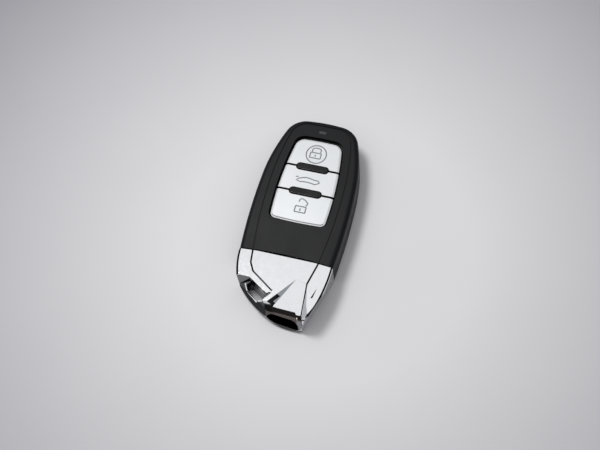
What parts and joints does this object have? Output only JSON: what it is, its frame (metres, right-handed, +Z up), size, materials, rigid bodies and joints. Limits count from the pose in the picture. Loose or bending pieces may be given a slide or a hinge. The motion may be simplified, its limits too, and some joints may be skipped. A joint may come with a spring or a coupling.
{
  "type": "car key fob",
  "caption": "Slim car key fob: black case, silver push buttons with icons, faceted chrome end cap with a ring hole, and an emergency key blade that draws out with the cap.",
  "frame": {"origin": "centre of the fob's footprint, on the surface that its back lies on", "axes": "+Z up out of the button side, +Y along the fob towards its round end, -Y towards the chrome end cap, +X to the right when the buttons are seen from above"},
  "size_m": [0.0372, 0.0812, 0.013],
  "materials": {
    "case_black": "satin moulded ABS",
    "inner_black": "moulded glass filled nylon",
    "bar_black": "gloss moulded ABS",
    "button_silver": "satin silver lacquer on ABS",
    "cap_chrome": "polished chrome plating on a zinc casting",
    "window_clear": "clear acrylic light pipe",
    "board_green": "solder mask over glass epoxy",
    "chip_black": "moulded epoxy",
    "ceramic_tan": "fired ceramic",
    "led_white": "clear epoxy over a white carrier",
    "copper": "bright copper",
    "ferrite": "sintered ferrite",
    "capsule_grey": "moulded epoxy",
    "steel": "nickel plated steel",
    "blade_steel": "milled nickel silver",
    "rubber_black": "moulded silicone rubber",
    "plunger_white": "moulded acetal"
  },
  "bodies": {
    "case": {"upper_shell": "case_black", "lower_shell": "case_black", "led_window": "window_clear", "button_frame": "bar_black", "keypad_gasket": "rubber_black", "circuit_board": "board_green", "board_screws": "steel", "microcontroller": "chip_black", "led": "led_white", "radio_chip": "chip_black", "crystal": "steel", "chip_capacitors": "ceramic_tan", "aerial_loop": "copper", "coil_core": "ferrite", "coil_winding": "copper", "transponder": "capsule_grey", "negative_contact": "steel", "positive_contact": "steel", "lock_switch": "chip_black", "boot_switch": "chip_black", "unlock_switch": "chip_black"},
    "lock": {"lock_button": "button_silver", "lock_plunger": "plunger_white"},
    "boot": {"boot_button": "button_silver", "boot_plunger": "plunger_white"},
    "unlock": {"unlock_button": "button_silver", "unlock_plunger": "plunger_white"},
    "key": {"end_cap": "cap_chrome", "key_holder": "inner_black", "key_blade": "blade_steel", "blade_pin": "steel", "cap_screws": "steel", "latch_spring": "steel"},
    "release": {"release_button": "inner_black"},
    "tray": {"battery_tray": "inner_black", "tray_seal": "rubber_black", "cell_can": "steel", "cell_gasket": "rubber_black", "cell_cap": "steel"}
  },
  "joints": [
    {"name": "lock_press", "type": "slide", "parent": "case", "child": "lock", "axis": [0, 0, -1], "range_m": [0, 0.00045], "stiffness_N_per_m": 2000},
    {"name": "boot_press", "type": "slide", "parent": "case", "child": "boot", "axis": [0, 0, -1], "range_m": [0, 0.00045], "stiffness_N_per_m": 2000},
    {"name": "unlock_press", "type": "slide", "parent": "case", "child": "unlock", "axis": [0, 0, -1], "range_m": [0, 0.00045], "stiffness_N_per_m": 2000},
    {"name": "key_slide", "type": "slide", "parent": "case", "child": "key", "axis": [0, -1, 0], "range_m": [0, 0.045]},
    {"name": "release_press", "type": "slide", "parent": "key", "child": "release", "axis": [0, 0, 1], "range_m": [0, 0.0008], "stiffness_N_per_m": 1500, "deforming": ["latch_spring"]},
    {"name": "tray_slide", "type": "slide", "parent": "case", "child": "tray", "axis": [0, -1, 0], "range_m": [0, 0.02]}
  ],
  "couplings": [
    {"joint": "tray_slide", "follows": "key_slide", "ratio": 0.4444}
  ]
}
